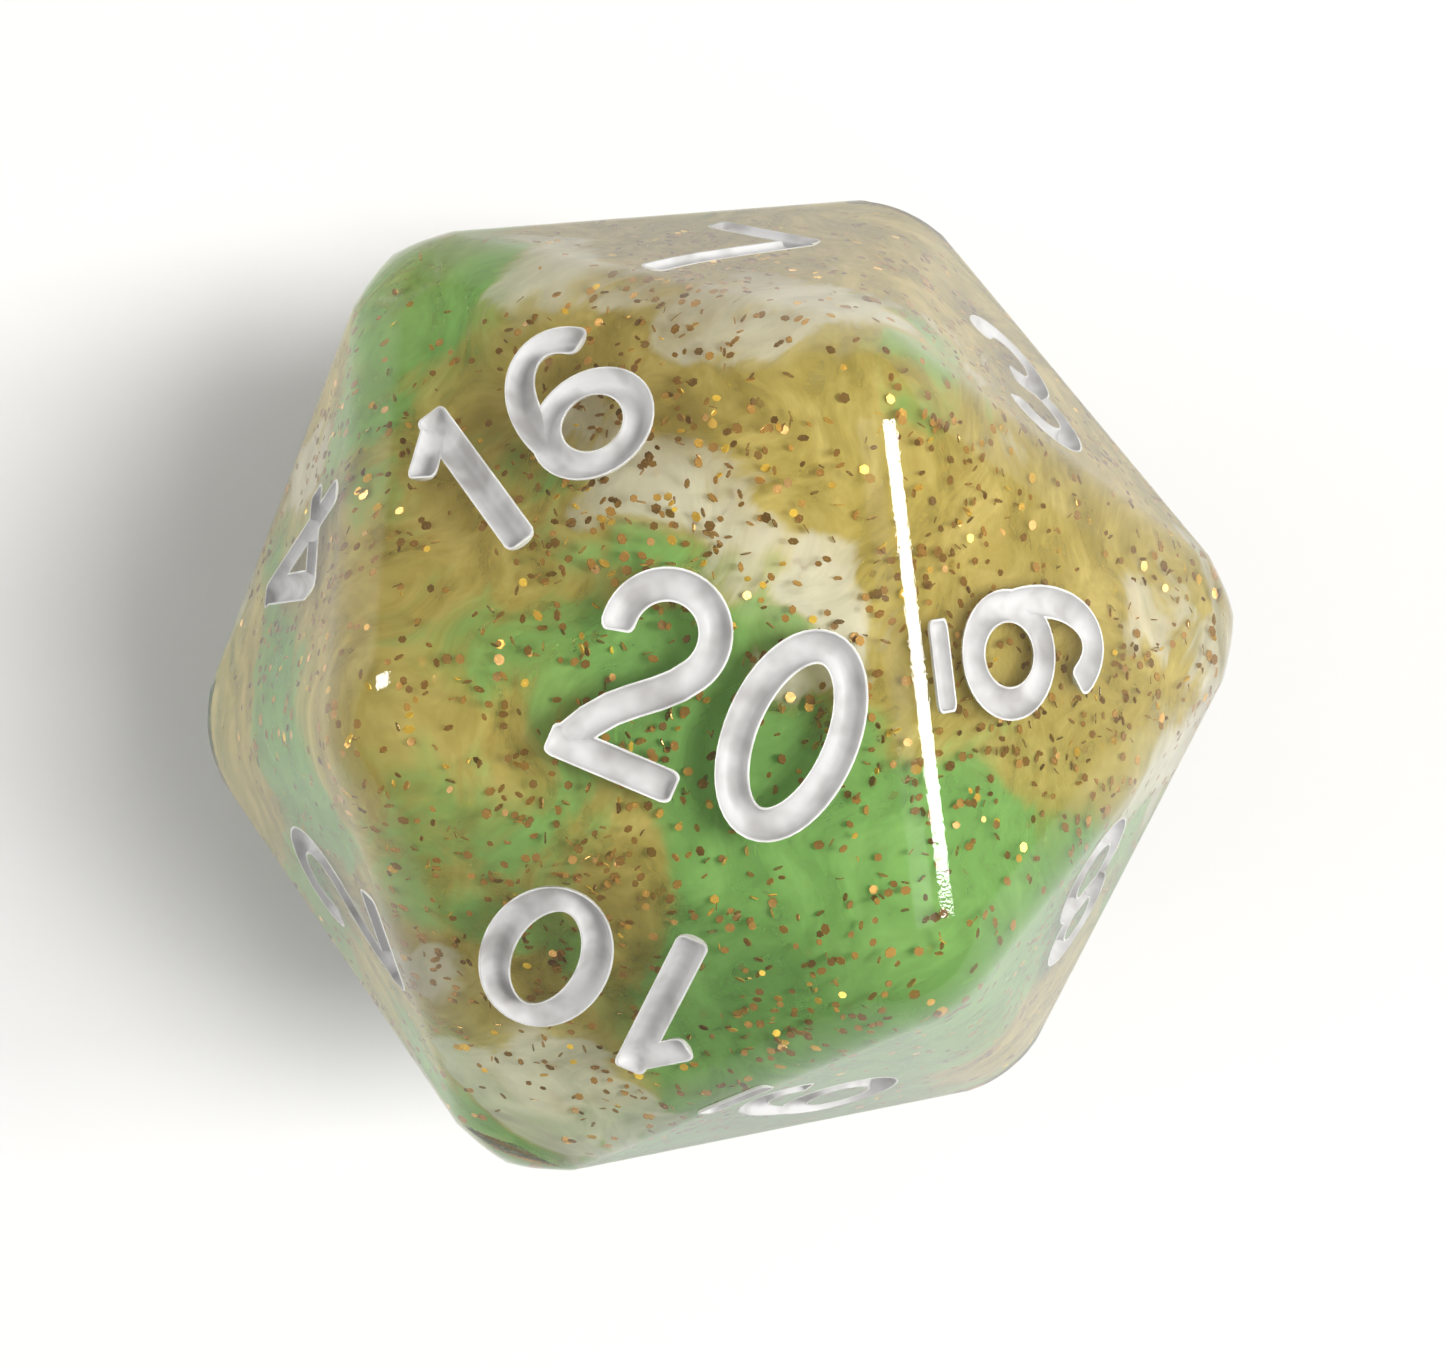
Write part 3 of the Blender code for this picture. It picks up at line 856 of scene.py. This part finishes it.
def glitterMaterial():
    # Hexagonal copper-coated film, precision cut: a flake flashes when it faces a lamp, and its colour also
    # runs at random from a painted shaded brown to a painted gold glint
    material, tree = emptyMaterial("copperGlitterFilm")
    tone = addNode(tree, "ShaderNodeAttribute", attribute_name="tone")
    ramp = addNode(tree, "ShaderNodeValToRGB", {"Fac": tone.outputs["Fac"]})
    ramp.color_ramp.elements[0].position = 0.0
    ramp.color_ramp.elements[0].color = linear(glitter["dark"])
    ramp.color_ramp.elements[1].position = 1.0
    ramp.color_ramp.elements[1].color = linear(glitter["gold"])
    copper = ramp.color_ramp.elements.new(0.6)
    copper.color = linear(glitter["copper"])
    coords = addNode(tree, "ShaderNodeTexCoord")
    wear = addNode(tree, "ShaderNodeTexNoise", {
        "Vector": coords.outputs["Object"], "Scale": 1 / (0.06 * mm), "Detail": 1.0,
    })
    rough = addNode(tree, "ShaderNodeMapRange", {
        "Value": wear.outputs["Fac"], "To Min": 0.14, "To Max": 0.34,
    })
    shader = addNode(tree, "ShaderNodeBsdfPrincipled", {
        "Base Color": ramp.outputs["Color"], "Metallic": 0.45, "Roughness": rough.outputs["Result"],
    })
    addNode(tree, "ShaderNodeOutputMaterial", {"Surface": shader.outputs[0]})
    return material


def buildGlitter():
    random = np.random.default_rng(7)
    count = glitter["count"]
    directions = random.normal(size=(count, 3))
    directions[:, 2] += 0.1
    directions /= np.linalg.norm(directions, axis=1)[:, None]
    depth = np.where(
        random.random(count) < glitter["nearShare"],
        random.uniform(*glitter["nearDepth"], size=count),
        random.uniform(*glitter["farDepth"], size=count),
    )
    # more of it settled towards the top of the casting, in drifts
    drift = waves(directions * 10, 4.5, 31)[:, 0] + 0.9 * directions[:, 2]
    keep = random.random(count) < np.clip(0.36 + 0.60 * drift, 0.06, 1)
    directions, depth = directions[keep], depth[keep]
    count = len(directions)
    sunk = surfaceReach(directions) * (1 - depth * mm / inradius)
    centres = directions * sunk[:, None] * mm + np.array(middle)
    radii = random.uniform(*glitter["radius"], size=count) * mm
    # where each flake sits, at random, between painted shade and painted glint
    tones = random.beta(1.6, 2.6, size=count)
    half = glitter["thickness"] / 2 * mm
    vertices = []
    polygons = []
    flakeTones = []
    for direction, centre, radius, tone in zip(directions, centres, radii, tones):
        normal = (Vector(random.normal(size=3)) + glitter["lying"] * Vector(direction)).normalized()
        turn = normal.to_track_quat("Z", "Y").to_matrix()
        first = len(vertices)
        for side in (-half, half):
            for corner in range(6):
                angle = corner * pi / 3
                tip = Vector((radius * cos(angle), radius * sin(angle), side))
                vertices.append(Vector(centre) + turn @ tip)
        polygons.append([first + corner for corner in reversed(range(6))])
        polygons.append([first + 6 + corner for corner in range(6)])
        for corner in range(6):
            following = (corner + 1) % 6
            polygons.append([first + corner, first + following, first + 6 + following, first + 6 + corner])
        flakeTones += [tone] * 12
    mesh = bpy.data.meshes.new("glitter_flakes")
    mesh.from_pydata(vertices, [], polygons)
    attribute = mesh.attributes.new("tone", "FLOAT", "POINT")
    attribute.data.foreach_set("value", np.array(flakeTones, np.float32))
    addPiece("glitter_flakes", mesh, glitterMaterial())


buildGlitter()
print("glitter scattered")

studio = {
    "table": "#DFDEDC",
    "sky": "#F3F4F6",
    "skyStrength": 0.43,
}


def tableMaterial():
    # Pale matte paper sweep: almost even, with the faintest mottling
    material, tree = emptyMaterial("paleMattePaper")
    coords = addNode(tree, "ShaderNodeTexCoord")
    mottle = addNode(tree, "ShaderNodeTexNoise", {
        "Vector": coords.outputs["Object"], "Scale": 1 / (25 * mm), "Detail": 2.0,
    })
    tone = addNode(tree, "ShaderNodeMapRange", {
        "Value": mottle.outputs["Fac"], "To Min": 0.55, "To Max": 0.65,
    })
    shader = addNode(tree, "ShaderNodeBsdfPrincipled", {
        "Base Color": linear(studio["table"]), "Roughness": tone.outputs["Result"],
    })
    addNode(tree, "ShaderNodeOutputMaterial", {"Surface": shader.outputs[0]})
    return material


def buildStudio():
    floorMesh = bpy.data.meshes.new("floor")
    reach = 1.2
    corners = [(-reach, -reach, 0), (reach, -reach, 0), (reach, reach, 0), (-reach, reach, 0)]
    floorMesh.from_pydata(corners, [], [(0, 1, 2, 3)])
    floorMesh.materials.append(tableMaterial())
    floor = bpy.data.objects.new("floor", floorMesh)
    scene.collection.objects.link(floor)
    floor.location.z = lowCorner.z - 0.02 * mm
    world = bpy.data.worlds.new("softbox room")
    world.use_nodes = True
    background = world.node_tree.nodes["Background"]
    background.inputs["Color"].default_value = linear(studio["sky"])
    background.inputs["Strength"].default_value = studio["skyStrength"]
    scene.world = world


def addLamp(name, direction, distance, width, height, watts, spin=0, lightsSurfaces=True, mirrored=True):
    # an area lamp that faces the die from that direction
    data = bpy.data.lights.new(name, "AREA")
    data.shape = "RECTANGLE"
    data.size = width
    data.size_y = height
    data.energy = watts
    lamp = bpy.data.objects.new(name, data)
    toward = Vector(direction).normalized()
    facing = toward.to_track_quat("Z", "Y").to_matrix().to_4x4()
    turned = Matrix.Rotation(radians(spin), 4, "Z")
    lamp.matrix_world = Matrix.Translation(middle + toward * distance) @ facing @ turned
    scene.collection.objects.link(lamp)
    lamp.visible_diffuse = lightsSurfaces
    lamp.visible_glossy = mirrored
    return lamp


def polar(azimuth, height):
    # a direction, from its bearing and its angle above the table in degrees
    around, above = radians(azimuth), radians(height)
    return (cos(around) * cos(above), sin(around) * cos(above), sin(above))


buildStudio()
addLamp("window", polar(27.5, 37.5), 0.45, 0.082, 0.105, 0.62)
addLamp("far pane", polar(167, 17.5), 0.45, 0.10, 0.10, 0.6, spin=45, lightsSurfaces=False)
addLamp("soft side light", polar(24, 60), 0.60, 0.20, 0.20, 3.3, mirrored=False)
addLamp("low fill", polar(202, 12), 0.60, 0.40, 0.40, 2.1, mirrored=False)

camera = {
    "place": (-3.08, 1.52, 72.24),  # mm from the middle of the die
    "aim": (0.35, -0.07, 0.02),
    "roll": 23.07,                  # degrees that the picture's top leans from +Y towards -X
    "lens": 78.9,
}


def buildCamera():
    data = bpy.data.cameras.new("camera")
    data.lens = camera["lens"]
    data.sensor_width = 36
    data.clip_start = 0.001
    obj = bpy.data.objects.new("camera", data)
    scene.collection.objects.link(obj)
    place = middle + Vector(camera["place"]) * mm
    back = (place - middle - Vector(camera["aim"]) * mm).normalized()
    up = Vector((-sin(radians(camera["roll"])), cos(radians(camera["roll"])), 0))
    right = up.cross(back).normalized()
    up = back.cross(right)
    obj.matrix_world = Matrix.Translation(place) @ Matrix((right, up, back)).transposed().to_4x4()
    scene.camera = obj


buildCamera()
scene.cycles.transparent_max_bounces = 40
scene.view_settings.view_transform = "Standard"
print("studio and camera ready")
